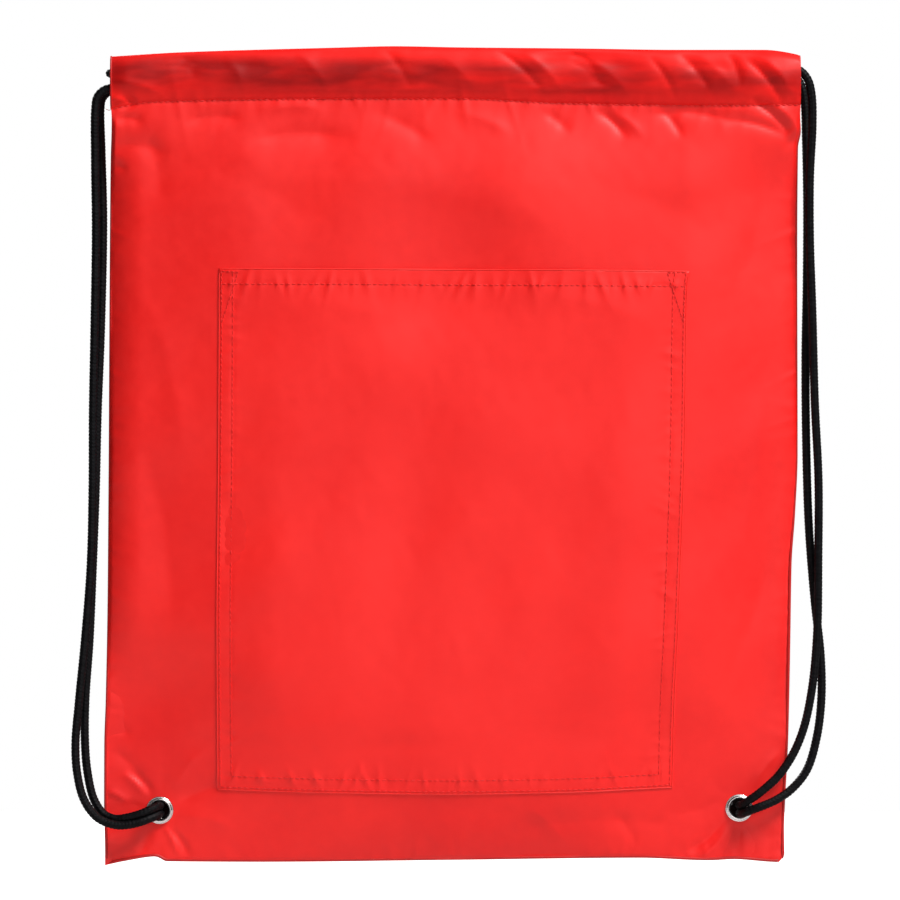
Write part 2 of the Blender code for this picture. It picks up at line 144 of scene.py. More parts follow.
# Routes of the free strands, as in the CAD to within 3 mm: (x, y, h) in millimetres, from casing to eyelet
ROUTES_MM = {
    "left_cord_front_strand": [
        (-170.3, -7.5, 404), (-174, -7.5, 404), (-176.5, -7.5, 403.9), (-180.5, -7.4, 402.6),
        (-183.5, -7.3, 399.4), (-184.6, -7.1, 394), (-184.8, -6.5, 366), (-184.4, -5.9, 330),
        (-185.2, -5.2, 278), (-186.0, -4.9, 236), (-186.2, -4.8, 195), (-187.2, -4.9, 155),
        (-190.2, -5.2, 116), (-193.2, -6.0, 85), (-195.0, -7.0, 62), (-194.0, -8.0, 47),
        (-190.4, -8.9, 33.5), (-183.4, -9.9, 24.2), (-174.0, -10.8, 20.5), (-166.0, -11.0, 20.8),
        (-160.0, -10.6, 22.4), (-155.6, -9.1, 24.0), (-152.4, -5.9, 25.2), (-151.2, -1.5, 25.75),
        (-151.2, 3.6, 25.75),
    ],
    "left_cord_back_strand": [
        (-170.3, 7.5, 404), (-173, 7.5, 404), (-175.2, 7.5, 403.9), (-179.2, 7.3, 402.4),
        (-182.0, 7.0, 399.0), (-182.8, 6.6, 394), (-182.2, 5.2, 372), (-181.2, 3.6, 335),
        (-182.3, 2.0, 278), (-183.9, 1.0, 236), (-184.9, 0.4, 195), (-186.4, 0.1, 155),
        (-188.1, -0.4, 116), (-190.2, -1.2, 85), (-190.3, -2.2, 62), (-188.9, -2.9, 47),
        (-185.6, -3.8, 33.5), (-180.4, -5.0, 25.9), (-174.6, -7.2, 23.5), (-168.0, -9.3, 24.3),
        (-160.4, -10.4, 26.5), (-155.6, -9.1, 28.6), (-152.4, -5.9, 29.8), (-151.2, -1.5, 30.05),
        (-151.2, 3.6, 30.05),
    ],
    "right_cord_front_strand": [
        (170.3, -7.5, 412), (174, -7.5, 412.9), (177.5, -7.5, 413.9), (182.4, -7.5, 412.8),
        (186.4, -7.4, 408.0), (188.3, -7.3, 400), (188.7, -7.2, 385), (187.4, -6.9, 358),
        (187.4, -6.6, 325), (188.6, -6.3, 290), (190.0, -6.1, 240), (191.9, -6.0, 200),
        (191.8, -6.0, 160), (191.2, -6.1, 120), (188.6, -6.5, 92), (184.2, -7.2, 71),
        (178.4, -8.3, 57), (171.0, -9.6, 46.2), (164.0, -10.4, 39.6), (158.4, -10.4, 35.2),
        (154.8, -9.1, 32.8), (152.2, -5.9, 30.8), (151.2, -1.5, 30.05), (151.2, 3.6, 30.05),
    ],
    "right_cord_back_strand": [
        (170.3, 7.5, 412), (173, 7.5, 412.3), (176.2, 7.5, 412.3), (180.8, 7.3, 410.2),
        (184.0, 7.0, 405.2), (185.4, 6.5, 398), (186.1, 5.3, 378), (186.6, 3.4, 345),
        (186.3, 1.4, 305), (185.5, -0.1, 262), (185.9, -1.0, 215), (187.2, -1.3, 175),
        (190.2, -1.4, 137), (193.3, -1.8, 108), (193.6, -2.5, 86), (191.2, -3.3, 66),
        (186.0, -4.6, 49), (178.2, -6.5, 39.2), (170.0, -9.0, 33.6), (164.4, -10.2, 31.1),
        (159.3, -10.4, 29.2), (155.2, -9.1, 27.5), (152.3, -5.9, 26.2), (151.2, -1.5, 25.75),
        (151.2, 3.6, 25.75),
    ],
}

# How far the walls and the casings swell, and the points across each half of them
BODY_DEPTH = 12.5 * MM
CASING_FULL = 4.9 * MM
CASING_H = 0.41
HALF_COLUMNS = 120

# The height about which the casing's inner face is mirrored in its UV map
GATHER_TOP = 0.4255


def at(x, depth, h):
    """A point of the bag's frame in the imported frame. Depth is forward, towards -Y."""
    return x, SEAM_Y - depth, BOTTOM_Z + h


# --- camera, light and floor ------------------------------------------------------------------------------

FRAME_WIDTH = 0.4696
FRAME_MIDDLE_H = 0.2155
CAMERA_DISTANCE = 3.2


def make_camera():
    lens = bpy.data.cameras.new("camera")
    lens.sensor_width = 36
    lens.lens = 36 * CAMERA_DISTANCE / FRAME_WIDTH
    lens.clip_end = 100
    camera = bpy.data.objects.new("camera", lens)
    bpy.context.scene.collection.objects.link(camera)
    camera.location = (0, SEAM_Y - CAMERA_DISTANCE, BOTTOM_Z + FRAME_MIDDLE_H)
    camera.rotation_euler = (math.pi / 2, 0, 0)
    bpy.context.scene.camera = camera


def make_light(name, place, size, power):
    lamp = bpy.data.lights.new(name, "AREA")
    lamp.shape = "RECTANGLE"
    lamp.size, lamp.size_y = size
    lamp.energy = power
    item = bpy.data.objects.new(name, lamp)
    bpy.context.scene.collection.objects.link(item)
    item.location = place
    aim = Vector((0, SEAM_Y, BOTTOM_Z + FRAME_MIDDLE_H)) - Vector(place)
    item.rotation_euler = aim.to_track_quat("-Z", "Y").to_euler()


def make_studio():
    """A white floor and surround, a key light from above on the right, and softer ones before and behind."""
    make_light("key", (1.5, -1.5, 2.2), (1.1, 1.1), 126)
    make_light("front", (0.8, -3.6, 0.7), (1.6, 1.6), 21)
    make_light("back", (-1.2, 2.6, 1.4), (1.6, 1.6), 84)
    world = bpy.data.worlds.new("surround")
    bpy.context.scene.world = world
    world.use_nodes = True
    nodes, links = world.node_tree.nodes, world.node_tree.links
    nodes.clear()
    ray = nodes.new("ShaderNodeLightPath")
    out = nodes.new("ShaderNodeOutputWorld")
    shown = None
    for strength, when in ((0.09, None), (0.07, "Is Glossy Ray"), (1.0, "Is Camera Ray")):
        light = nodes.new("ShaderNodeBackground")
        light.inputs["Color"].default_value = (1, 1, 1, 1)
        light.inputs["Strength"].default_value = strength
        if when:
            pick = nodes.new("ShaderNodeMixShader")
            links.new(ray.outputs[when], pick.inputs[0])
            links.new(shown, pick.inputs[1])
            links.new(light.outputs[0], pick.inputs[2])
            light = pick
        shown = light.outputs[0]
    links.new(shown, out.inputs[0])
    bpy.ops.mesh.primitive_plane_add(size=2.4, location=(0, 0, BOTTOM_Z - 0.045))
    floor = bpy.context.object
    floor.name = "floor"
    pale = bpy.data.materials.new("pale_floor")
    pale.use_nodes = True
    nodes, links = pale.node_tree.nodes, pale.node_tree.links
    shader = nodes["Principled BSDF"]
    shader.inputs["Base Color"].default_value = (0.6, 0.6, 0.6, 1)
    shader.inputs["Roughness"].default_value = 0.9
    shader.inputs["Specular IOR Level"].default_value = 0.0
    shader.inputs["Emission Color"].default_value = (1, 1, 1, 1)
    ray = nodes.new("ShaderNodeLightPath")
    glow = nodes.new("ShaderNodeMath")
    glow.operation = "MULTIPLY"
    glow.inputs[1].default_value = 0.75
    links.new(ray.outputs["Is Camera Ray"], glow.inputs[0])
    links.new(glow.outputs[0], shader.inputs["Emission Strength"])
    floor.data.materials.append(pale)
    bpy.context.scene.view_settings.view_transform = "Standard"


# --- materials --------------------------------------------------------------------------------------------


class Shader:
    """A small helper that adds nodes to one material and links them."""

    def __init__(self, name):
        self.material = bpy.data.materials.new(name)
        self.material.use_nodes = True
        self.tree = self.material.node_tree
        self.surface = self.tree.nodes["Principled BSDF"]

    def add(self, kind, settings=None, **inputs):
        node = self.tree.nodes.new(kind)
        for key, value in (settings or {}).items():
            setattr(node, key, value)
        for key, value in inputs.items():
            self.put(node, key.replace("_", " "), value)
        return node

    def put(self, node, key, value):
        socket = node.inputs[int(key)] if key.isdigit() else node.inputs[key]
        if isinstance(value, bpy.types.NodeSocket):
            self.tree.links.new(value, socket)
        else:
            socket.default_value = value

    def math(self, operation, a, b=0.0):
        node = self.add("ShaderNodeMath", {"operation": operation})
        self.put(node, "0", a)
        self.put(node, "1", b)
        return node.outputs[0]

    def spread(self, value, low, high, **inputs):
        """The value mapped onto low to high."""
        node = self.add("ShaderNodeMapRange", Value=value, **inputs)
        node.inputs["To Min"].default_value = low
        node.inputs["To Max"].default_value = high
        return node.outputs["Result"]

    def stretched_noise(self, place, scale, detail):
        stretch = self.add("ShaderNodeMapping", Vector=place)
        stretch.inputs["Scale"].default_value = scale
        noise = self.add("ShaderNodeTexNoise", Vector=stretch.outputs[0], Scale=1.0, Detail=detail)
        return noise.outputs["Fac"]

    def ramp(self, factor, stops):
        node = self.add("ShaderNodeValToRGB", Fac=factor)
        for i, (place, colour) in enumerate(stops):
            element = node.color_ramp.elements[i] if i < 2 else node.color_ramp.elements.new(place)
            element.position = place
            element.color = (*colour, 1)
        return node.outputs["Color"]


def satin(name, light, dark, weave_mm=0.34, painted_shade_over_cords=False):
    """Thin polyester satin: fine weave, broken sheen, faint mottling, and if asked a dark band over the
    cords, partly the black cords showing through the thin cloth and partly painted shade.
    """
    s = Shader(name)
    place = s.add("ShaderNodeUVMap").outputs["UV"]
    broad = s.add("ShaderNodeTexNoise", Vector=place, Scale=16.0, Detail=3.0).outputs["Fac"]
    fine = s.add("ShaderNodeTexNoise", Vector=place, Scale=160.0, Detail=4.0).outputs["Fac"]
    mottle = s.math("ADD", s.math("MULTIPLY", broad, 0.75), s.math("MULTIPLY", fine, 0.25))
    colour = s.ramp(mottle, [(0.32, dark), (0.68, light)])
    split = s.add("ShaderNodeSeparateXYZ", Vector=place)
    gloss = 0.42
    if painted_shade_over_cords:
        # Dark band over the cords: partly the cords showing through the cloth, partly painted shade that is
        # stronger towards the left, away from the key light
        middle = s.math("ADD", s.math("MULTIPLY", split.outputs["X"], -0.012), 0.4100)
        from_cords = s.math("ABSOLUTE", s.math("SUBTRACT", split.outputs["Y"], middle))
        patches = s.stretched_noise(place, (26, 90, 1), 2.0)
        reach = s.add("ShaderNodeMapRange", {"interpolation_type": "SMOOTHSTEP"}, Value=from_cords)
        reach.inputs["From Min"].default_value = 0.0125
        reach.inputs["From Max"].default_value = 0.0025
        amount = s.spread(patches, 0.25, 1.0, From_Min=0.32, From_Max=0.62)
        strength = s.math("SUBTRACT", amount, s.math("MULTIPLY", split.outputs["X"], 1.3))
        shade = s.math("MULTIPLY", reach.outputs["Result"], strength)
        mix = s.add("ShaderNodeMix", {"data_type": "RGBA"})
        s.tree.links.new(shade, mix.inputs[0])
        s.tree.links.new(colour, mix.inputs[6])
        # The dark red of the painted shade over the cords
        mix.inputs[7].default_value = (0.35, 0.002, 0.002, 1)
        colour = mix.outputs[2]
        gloss = 0.20
    s.put(s.surface, "Base Color", colour)
    turns = 2 * math.pi / (weave_mm * MM)
    warp = s.math("SINE", s.math("MULTIPLY", split.outputs["X"], turns))
    weft = s.math("SINE", s.math("MULTIPLY", split.outputs["Y"], turns))
    weave = s.math("MULTIPLY", warp, weft)
    height = s.math("ADD", s.math("MULTIPLY", weave, 0.035), s.math("MULTIPLY", fine, 0.22))
    bump = s.add("ShaderNodeBump", Height=height, Strength=0.35, Distance=0.0004)
    s.put(s.surface, "Normal", bump.outputs["Normal"])
    s.put(s.surface, "Roughness", s.spread(fine, 0.40, 0.54))
    s.surface.inputs["Specular IOR Level"].default_value = gloss
    s.surface.inputs["Sheen Weight"].default_value = 0.06
    s.surface.inputs["Sheen Roughness"].default_value = 0.4
    s.surface.inputs["Sheen Tint"].default_value = (1.0, 0.45, 0.4, 1)
    return s.material


def braid():
    """Black polyester cord: dull filaments, lighter where the yarns turn to the light."""
    s = Shader("black_braid")
    place = s.add("ShaderNodeUVMap").outputs["UV"]
    hairs = s.stretched_noise(place, (60, 900, 1), 3.0)
    colour = s.ramp(hairs, [(0.35, (0.0012, 0.0012, 0.0016)), (0.8, (0.0085, 0.008, 0.0095))])
    s.put(s.surface, "Base Color", colour)
    bump = s.add("ShaderNodeBump", Height=hairs, Strength=0.5, Distance=0.0002)
    s.put(s.surface, "Normal", bump.outputs["Normal"])
    s.put(s.surface, "Roughness", s.spread(hairs, 0.42, 0.62))
    s.surface.inputs["Specular IOR Level"].default_value = 0.10
    return s.material


def nickel():
    """Bright nickel plate with fine rubbed scratches and a little dulling."""
    s = Shader("nickel_plate")
    place = s.add("ShaderNodeTexCoord").outputs["Object"]
    scratch = s.stretched_noise(place, (900, 900, 3000), 2.0)
    s.put(s.surface, "Base Color", s.ramp(scratch, [(0.3, (0.70, 0.68, 0.66)), (0.7, (0.86, 0.85, 0.84))]))
    s.put(s.surface, "Roughness", s.spread(scratch, 0.14, 0.30))
    s.surface.inputs["Metallic"].default_value = 1.0
    return s.material


# --- curves and surfaces ----------------------------------------------------------------------------------


def smooth(t):
    t = np.clip(t, 0, 1)
    return t * t * (3 - 2 * t)


def bulge(t):
    """From 0 to 1, steepest at its start."""
    return 1 - (1 - np.clip(t, 0, 1)) ** 2


def curve(points):
    """A smooth function through points given in millimetres, flat beyond its ends."""
    xs, ys = (np.array(c, float) * MM for c in zip(*points))
    rise = np.diff(ys) / np.diff(xs)
    before, after = np.r_[rise[0], rise], np.r_[rise, rise[-1]]
    same_way = before * after > 0
    slopes = np.where(same_way, 2 * before * after / np.where(same_way, before + after, 1), 0)

    def value(x):
        x = np.clip(x, xs[0], xs[-1])
        i = np.clip(np.searchsorted(xs, x) - 1, 0, len(xs) - 2)
        w = xs[i + 1] - xs[i]
        t = (x - xs[i]) / w
        a, b = t * t * (3 - 2 * t), t * (1 - t) ** 2
        return ys[i] * (1 - a) + ys[i + 1] * a + slopes[i] * w * b - slopes[i + 1] * w * t * t * (1 - t)

    return value


left_edge, right_edge = curve(LEFT_EDGE), curve(RIGHT_EDGE)
top_edge, bottom_edge = curve(TOP_EDGE), curve(BOTTOM_EDGE)
casing_stitch = curve(CASING_STITCH)
pocket_left, pocket_right = curve(POCKET_LEFT), curve(POCKET_RIGHT)
pocket_top, pocket_bottom = curve(POCKET_TOP), curve(POCKET_BOTTOM)


def creases(x, h, folds):
    """The height of a list of creases at each point: folded ridges and valleys that fade at both ends."""
    total = np.zeros_like(x)
    for x0, h0, x1, h1, width, height in np.array(folds) * MM:
        run = math.hypot(x1 - x0, h1 - h0)
        ux, uh = (x1 - x0) / run, (h1 - h0) / run
        along = (x - x0) * ux + (h - h0) * uh
        bow = 0.06 * run * np.sin(math.pi * np.clip(along / run, 0, 1))
        across = ((h - h0) * ux - (x - x0) * uh - bow) / width
        fade = smooth(along / (0.45 * run) + 0.25) * smooth((run - along) / (0.45 * run) + 0.25)
        folded = np.exp(-(np.sqrt(across**2 + 0.04) - 0.2) / 0.55)
        total += CREASE_GAIN * height * folded * fade
    return total


def swell(x, h, seed, longest, shortest, height, waves=14):
    """Gentle unevenness: a few seeded waves in every direction."""
    draw = np.random.default_rng(seed)
    total = np.zeros_like(x)
    for _ in range(waves):
        angle, phase = draw.uniform(0, math.pi), draw.uniform(0, 2 * math.pi)
        length = math.exp(draw.uniform(math.log(shortest), math.log(longest)))
        total += np.sin(2 * math.pi * (x * math.cos(angle) + h * math.sin(angle)) / length + phase)
    return total * height / math.sqrt(waves)


def pucker(along, away, seed, height=0.35 * MM, reach=5 * MM, groove=0.40 * MM, pitch=8.2 * MM):
    """Cloth drawn up by a row of stitches: uneven ripples across the row that die out away from it."""
    draw = np.random.default_rng(seed)
    total = -groove * np.exp(-((away / (0.8 * MM)) ** 2))
    low, high = np.min(along) - pitch, np.max(along) + pitch
    for number in range(-30, 62):
        middle = (number + draw.uniform(-0.3, 0.3)) * pitch
        size, width = draw.uniform(0.2, 1.3) * height, draw.uniform(0.17, 0.30) * pitch
        lean, fade = draw.uniform(-0.5, 0.5), draw.uniform(0.6, 1.6) * reach
        if low < middle < high:
            across = (along - middle - lean * away) / width
            total = total + size * np.exp(-(across**2)) * np.exp(-np.abs(away) / fade)
    return total


def eyelet_folds(x, h, seed):
    """Cloth pinched flat at each eyelet, with folds that spread from it."""
    total = np.zeros_like(x)
    for k, (ex, eh) in enumerate(EYELETS.values()):
        r = np.hypot(x - ex, h - eh)
        angle = np.arctan2(h - eh, x - ex)
        draw = np.random.default_rng(seed + k)
        spokes = sum(
            np.exp(-((np.angle(np.exp(1j * (angle - a))) / 0.17) ** 2)) * s
            for a, s in zip(draw.uniform(0, 2 * math.pi, 9), draw.choice([-1.0, 1.0], 9))
        )
        total += 0.55 * MM * spokes * smooth((r - 7 * MM) / (8 * MM)) * np.exp(-r / (19 * MM))
    return total


def cloth_relief(x, h, front):
    """The folds and unevenness that the wall and its casing share."""
    seed = 3 if front else 23
    folds = creases(x, h, FRONT_CREASES if front else BACK_CREASES)
    gathers = pucker(x, h - casing_stitch(x), seed + 5, height=0.45 * MM, reach=7 * MM, groove=0.2 * MM)
    broad = swell(x, h, seed, 0.17, 0.045, 0.85 * MM)
    small = swell(x, h, seed + 9, 0.03, 0.008, 0.035 * MM)
    return folds + gathers + broad + small


def wall_depth(x, h, front):
    """How far the bag's outer cloth stands from the plane of the seams."""
    from_left, from_right = x - left_edge(h), right_edge(h) - x
    inside = np.minimum(from_left, from_right)
    above = h - bottom_edge(x)
    below = casing_stitch(x) - h
    from_eyelet = np.minimum(*[np.hypot(x - ex, h - eh) for ex, eh in EYELETS.values()])
    # The walls lie close together round the eyelets, and the left edge is rounder above them than beside them
    pinch = smooth((from_eyelet - 5 * MM) / (95 * MM))
    rounded = 0.04 + 0.46 * smooth((h - 0.08) / 0.06)
    left = rounded * bulge(from_left / (18 * MM)) + (1 - rounded) * smooth(from_left / (80 * MM))
    right = 0.18 * bulge(from_right / (9 * MM)) + 0.82 * smooth(from_right / (62 * MM))
    low = bulge(above / (58 * MM))
    pillow = BODY_DEPTH * left * right * low * (0.10 + 0.90 * pinch)
    # The mouth stands open by the cords' spacing, and the seams hold the cloth flat up to the open sides
    rim = smooth(below / (46 * MM))
    held_flat = smooth(inside / (1.4 * MM)) * smooth(above / (1.4 * MM))
    open_side = 1 - smooth(below / (22 * MM))
    edge = np.maximum(held_flat, open_side)
    seed = 3 if front else 23
    relief = cloth_relief(x, h, front) + eyelet_folds(x, h, seed)
    relief = relief + pucker(h, inside - 2 * MM, seed, height=0.35 * MM, reach=5 * MM, groove=0)
    relief = relief + pucker(x, above - 4 * MM, seed + 1, height=0.30 * MM, reach=7 * MM, groove=0)
    return 0.15 * MM + (pillow * rim + 7.4 * MM * (1 - rim) + relief) * edge


def grid_normals(points, wraps=False):
    """Vertex normals of a grid of points, from its neighbours on both sides."""
    if wraps:
        down = np.roll(points, -1, 0) - np.roll(points, 1, 0)
    else:
        down = np.gradient(points, axis=0)
    across = np.gradient(points, axis=1)
    normal = np.cross(across, down)
    return normal / np.maximum(np.linalg.norm(normal, axis=2, keepdims=True), 1e-12)


def grid_piece(name, points, flat, material, normals=None, wraps=False, flip=False, gone=None):
    """A mesh from a grid of points, with flat as its UVs in metres. Cells with no point left are holes."""
    rows, columns = points.shape[:2]
    index = np.arange(rows * columns).reshape(rows, columns)
    if wraps:
        index = np.vstack([index, index[:1]])
    quads = np.stack([index[:-1, :-1], index[:-1, 1:], index[1:, 1:], index[1:, :-1]], 2).reshape(-1, 4)
    if gone is not None:
        quads = quads[~gone.ravel()[quads].all(1)]
    if flip:
        quads = quads[:, ::-1]
    mesh = bpy.data.meshes.new(name)
    mesh.vertices.add(rows * columns)
    mesh.vertices.foreach_set("co", points.reshape(-1, 3).astype(np.float32).ravel())
    mesh.loops.add(quads.size)
    mesh.loops.foreach_set("vertex_index", quads.ravel().astype(np.int32))
    mesh.polygons.add(len(quads))
    mesh.polygons.foreach_set("loop_start", (np.arange(len(quads)) * 4).astype(np.int32))
    mesh.update(calc_edges=True)
    mesh.shade_smooth()
    layer = mesh.uv_layers.new(name="UVMap")
    corners = flat.reshape(-1, 2)[quads.ravel()]
    layer.data.foreach_set("uv", corners.astype(np.float32).ravel())
    if normals is not None:
        mesh.normals_split_custom_set_from_vertices(normals.reshape(-1, 3).tolist())
    item = bpy.data.objects.new(name, mesh)
    item.data.materials.append(material)
    bpy.context.scene.collection.objects.link(item)
    return item


def gather(item):
    """Bakes the piece's placement into its mesh."""
    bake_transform(item)


def gather_strand(item):
    """Bakes the strand's placement into its mesh."""
    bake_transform(item)


def placed(x, depth, h):
    return np.stack(np.broadcast_arrays(*at(x, depth, h)), -1)


def halves(name, points, flat, material, replaced, wraps=False, flip=False, gone=None):
    """Cuts a full-width grid at its middle column into two pieces and hides the CAD part it replaces."""
    normals = grid_normals(points, wraps) * (-1 if flip else 1)
    made = []
    for side, part in (("left", slice(0, HALF_COLUMNS + 1)), ("right", slice(HALF_COLUMNS, None))):
        holes = None if gone is None else gone[:, part]
        item = grid_piece(
            f"{name}_{side}", points[:, part], flat[:, part], material, normals[:, part], wraps, flip, holes
        )
        gather(item)
        made.append(item)
    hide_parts(replaced)
    return made


def stations_across(low, high):
    """Evenly spaced from the low edge to the middle and on to the high edge, for each row."""
    t = np.linspace(0, 1, HALF_COLUMNS + 1)
    left = low[:, None] * (1 - t)
    right = high[:, None] * t
    return np.concatenate([left, right[:, 1:]], 1)


def wall(front):
    """The front or back of the bag, from the bottom seam to the casing's stitches."""
    rows = 262
    v = np.linspace(0, 1, rows)
    nominal = v * 0.396
    x = stations_across(left_edge(nominal), right_edge(nominal))
    low, high = bottom_edge(x), casing_stitch(x)
    h = low + (high - low) * v[:, None]
    gone = np.zeros(x.shape, bool)
    for ex, eh in EYELETS.values():
        r = np.hypot(x - ex, h - eh)
        hole = r < EYELET_HOLE
        push = np.where(hole, EYELET_HOLE / np.maximum(r, 1e-6), 1)
        x, h = ex + (x - ex) * push, eh + (h - eh) * push
        gone |= hole
    depth = wall_depth(x, h, front)
    sign = 1 if front else -1
    points = placed(x, sign * depth, h)
    flat = np.stack([x, h], -1)
    name = "front_panel" if front else "back_panel"
    looks = SATIN if front else SATIN_BACK
    made = halves(f"{name}_cloth", points, flat, looks, name, flip=not front, gone=gone)


def casing_belly(up):
    """The casing's rounding, from its stitches (0) to its top fold (1): fullest a little under the middle."""
    return np.sin(math.pi * np.clip(up, 0, 1) ** 1.25) ** 0.62


def casing(front):
    """A flat tube of cloth round the cords: up the outside, over the top fold and down the inside."""
    around = 34
    t = np.linspace(0, 1, around)
    outside = 0.5 - 0.5 * np.cos(math.pi * t)
    end_low, end_high = left_edge(CASING_H), right_edge(CASING_H)
    x = stations_across(np.full(around, end_low), np.full(around, end_high))
    low, high = casing_stitch(x), top_edge(x)
    up = outside[:, None] * np.ones_like(x)
    h = low + (high - low) * up
    belly = casing_belly(up)
    relief = np.maximum(cloth_relief(x, h, front), -2.3 * MM)
    near_end = np.minimum(x - end_low, end_high - x)
    ends = 0.75 + 0.25 * smooth(near_end / (9 * MM))
    outer = 7.55 * MM + CASING_FULL * belly * ends + relief * (1 - smooth((up - 0.86) / 0.14))
    carried = 0.35 * np.sin(math.pi * up) + 1 - smooth(up / 0.1)
    inner = 7.45 * MM - 2.5 * MM * belly * ends + carried * relief
    # The cloth rises over each cord, and never lies inside one
    for cord_h in CORD_H.values():
        cover = np.sqrt(np.clip(CORD_COVER**2 - (h - cord_h) ** 2, 0, None))
        past = outer - CORD_DEPTH
        over = 0.5 * (cover + past + np.hypot(cover - past, 0.7 * MM))
        outer = np.where(cover > 0, CORD_DEPTH + np.maximum(over, past), outer)
        inner = np.minimum(inner, CORD_DEPTH - cover)
    inner = np.minimum(inner, outer - 0.08 * MM)
    depth = np.concatenate([outer, inner[::-1][1:-1]], 0)
    x_all = np.concatenate([x, x[::-1][1:-1]], 0)
    h_all = np.concatenate([h, h[::-1][1:-1]], 0)
    sign = 1 if front else -1
    points = placed(x_all, sign * depth, h_all)
    inside_up = (np.arange(len(depth)) >= around)[:, None]
    flat = np.stack([x_all, np.where(inside_up, 2 * GATHER_TOP - h_all, h_all)], -1)
    name = "front_channel" if front else "back_channel"
    halves(f"{name}_cloth", points, flat, SATIN_CASING, name, wraps=True, flip=not front)


# --- cords ------------------------------------------------------------------------------------------------


def smooth_line(route, samples=16):
    """Close points on a smooth curve through a route's own points, as in the CAD."""
    points = [Vector(p) for p in route]
    ends = [2 * points[0] - points[1], *points, 2 * points[-1] - points[-2]]
    line = []
    for a, b, c, d in zip(ends, ends[1:], ends[2:], ends[3:]):
        knots = [0.0]
        for p, q in ((a, b), (b, c), (c, d)):
            knots.append(knots[-1] + math.sqrt((q - p).length))
        t0, t1, t2, t3 = knots
        for i in range(samples):
            t = t1 + (t2 - t1) * i / samples
            ab = a.lerp(b, (t - t0) / (t1 - t0))
            bc = b.lerp(c, (t - t1) / (t2 - t1))
            cd = c.lerp(d, (t - t2) / (t3 - t2))
            abc = ab.lerp(bc, (t - t0) / (t2 - t0))
            bcd = bc.lerp(cd, (t - t1) / (t3 - t1))
            line.append(abc.lerp(bcd, (t - t1) / (t2 - t1)))
    line.append(points[-1])
    return line


def resampled(line, step):
    """The same line as an array of points a set step apart."""
    line = np.array([list(p) for p in line])
    run = np.concatenate([[0], np.cumsum(np.linalg.norm(np.diff(line, axis=0), axis=1))])
    count = max(4, round(run[-1] / step))
    marks = np.linspace(0, run[-1], count + 1)
    return np.stack([np.interp(marks, run, line[:, k]) for k in range(3)], 1), run[-1]


def braided_tube(name, line, step=0.45 * MM, sides=32, closed_ends=True):
    """A cord with herringbone columns of yarn round it."""
    points, length = resampled(line, step)
    tangent = np.gradient(points, axis=0)
    tangent /= np.linalg.norm(tangent, axis=1, keepdims=True)
    normal = np.zeros_like(points)
    start = np.cross(tangent[0], (0, 1, 0.3))
    normal[0] = start / np.linalg.norm(start)
    for i in range(1, len(points)):
        n = normal[i - 1] - tangent[i] * (normal[i - 1] @ tangent[i])
        normal[i] = n / np.linalg.norm(n)
    binormal = np.cross(tangent, normal)
    angle = np.linspace(0, 2 * math.pi, sides, endpoint=False)
    s = np.linspace(0, length, len(points))[:, None]
    column = 8 * angle[None, :] / (2 * math.pi)
    within = column - np.floor(column)
    lean = np.where(np.floor(column) % 2 == 0, 1, -1)
    stroke = s / (1.9 * MM) + lean * (within - 0.5) * 0.9
    yarn = np.abs(np.sin(math.pi * stroke)) ** 0.6 * (0.45 + 0.55 * np.sin(math.pi * within) ** 0.7)
    radius = CORD_DIAMETER / 2 * (0.88 + 0.26 * yarn)
    if closed_ends:
        radius[0] *= 0.05
        radius[-1] *= 0.05
    ring = np.cos(angle)[None, :, None] * normal[:, None] + np.sin(angle)[None, :, None] * binormal[:, None]
    tube = points[:, None, :] + radius[..., None] * ring
    flat = np.stack([angle[None, :] / (2 * math.pi) * 0.0126 + 0 * s, s + 0 * angle[None, :]], -1)
    tube, flat = tube.transpose(1, 0, 2), flat.transpose(1, 0, 2)
    item = grid_piece(name, tube, flat, BRAID, wraps=True, flip=True)
    return item, points, length


def make_cords():
    for side, end in (("left", -1), ("right", 1)):
        knot = make_knot(side, end)
        for place in ("front", "back"):
            node = f"{side}_cord_{place}_strand"
            route = [at(x * MM, -y * MM, h * MM) for x, y, h in ROUTES_MM[node]]
            item, path, length = braided_tube(f"{node}_braid", smooth_line(route))
            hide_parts(node)
            gather_strand(item)
    for side, other, end in (("left", "right", 1), ("right", "left", -1)):
        h = CORD_H[side]
        for place, depth in (("front", CORD_DEPTH), ("back", -CORD_DEPTH)):
            node = f"{side}_cord_{place}_run"
            for half, sign in (("left", -1), ("right", 1)):
                ends = [at(0, depth, h), at(sign * RUN_END, depth, h)]
                item, _, _ = braided_tube(f"{node}_{half}", ends, step=2 * MM, sides=16)
                gather(item)
                if half == "left":
                    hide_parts(node)
        turn = np.linspace(-math.pi / 2, math.pi / 2, 24)
        bend = [at(end * (RUN_END + CORD_DEPTH * math.cos(a)), -CORD_DEPTH * math.sin(a), h) for a in turn]
        item, _, _ = braided_tube(f"{side}_cord_bight_braid", bend)
        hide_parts(f"{side}_cord_bight")
        gather(item)


